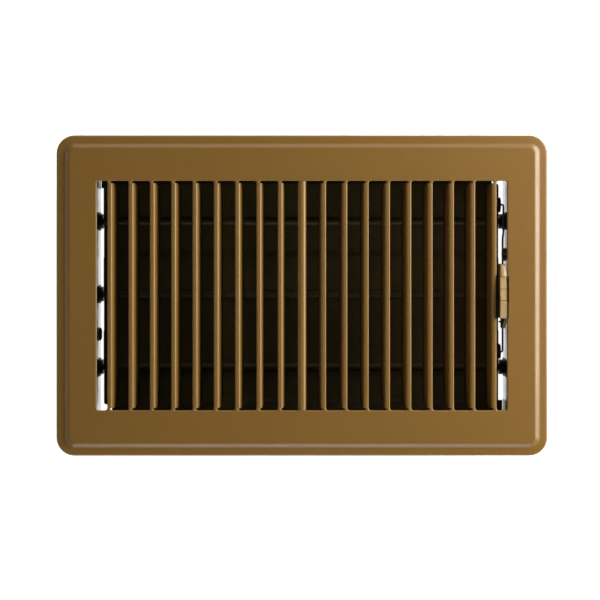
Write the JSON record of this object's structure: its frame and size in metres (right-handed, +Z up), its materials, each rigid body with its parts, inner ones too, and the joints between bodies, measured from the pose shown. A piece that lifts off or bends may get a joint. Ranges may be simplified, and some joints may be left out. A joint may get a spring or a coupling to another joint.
{
  "type": "floor register",
  "caption": "Louvred floor register: stamped face plate over a damper box whose linked blades are opened and shut by a thumb lever.",
  "frame": {"origin": "centre of the plane on which the face plate's rim rests on the floor, which is also the centre of the duct neck", "axes": "+X along the length, towards the end with the thumb lever; +Y across the width; +Z up, out of the floor"},
  "size_m": [0.2934, 0.1916, 0.0468],
  "materials": {
    "brown_enamel": "baked enamel, satin",
    "galvanised": "zinc coated sheet, dull",
    "damper_paint": "thin dark paint, dull",
    "black_nylon": "moulded, matt",
    "lever_plastic": "moulded, semi gloss",
    "bright_steel": "drawn wire and rivets, bright"
  },
  "bodies": {
    "housing": {"face_plate": "brown_enamel", "frame_half_rear": "galvanised", "frame_half_front": "galvanised", "end_bracket_left": "galvanised", "end_bracket_right": "galvanised", "bracket_rivets": "bright_steel", "corner_rivets": "bright_steel", "bearing_rear_left": "black_nylon", "bearing_rear_right": "black_nylon", "bearing_middle_left": "black_nylon", "bearing_middle_right": "black_nylon", "bearing_front_left": "black_nylon", "bearing_front_right": "black_nylon"},
    "rear_damper": {"damper_blade_rear": "damper_paint", "pivot_rod_rear": "bright_steel"},
    "middle_damper": {"damper_blade_middle": "damper_paint", "pivot_rod_middle": "bright_steel"},
    "front_damper": {"damper_blade_front": "damper_paint", "pivot_rod_front": "bright_steel"},
    "lever_link": {"thumb_lever": "lever_plastic", "link_rod_rear": "bright_steel", "link_rod_front": "bright_steel"}
  },
  "joints": [
    {"name": "middle_damper_hinge", "type": "hinge", "parent": "housing", "child": "middle_damper", "pos_m": [0, 0, -0.0305], "axis": [1, 0, 0], "range_deg": [0, 90]},
    {"name": "rear_damper_hinge", "type": "hinge", "parent": "housing", "child": "rear_damper", "pos_m": [0, 0.045, -0.0305], "axis": [1, 0, 0], "range_deg": [0, 90]},
    {"name": "front_damper_hinge", "type": "hinge", "parent": "housing", "child": "front_damper", "pos_m": [0, -0.045, -0.0305], "axis": [1, 0, 0], "range_deg": [0, 90]},
    {"name": "lever_link_hinge", "type": "hinge", "parent": "middle_damper", "child": "lever_link", "pos_m": [0.121, 0.01, -0.0205], "axis": [1, 0, 0], "range_deg": [-90, 0]}
  ],
  "couplings": [
    {"joint": "rear_damper_hinge", "follows": "middle_damper_hinge", "ratio": 1},
    {"joint": "front_damper_hinge", "follows": "middle_damper_hinge", "ratio": 1},
    {"joint": "lever_link_hinge", "follows": "middle_damper_hinge", "ratio": -1}
  ]
}
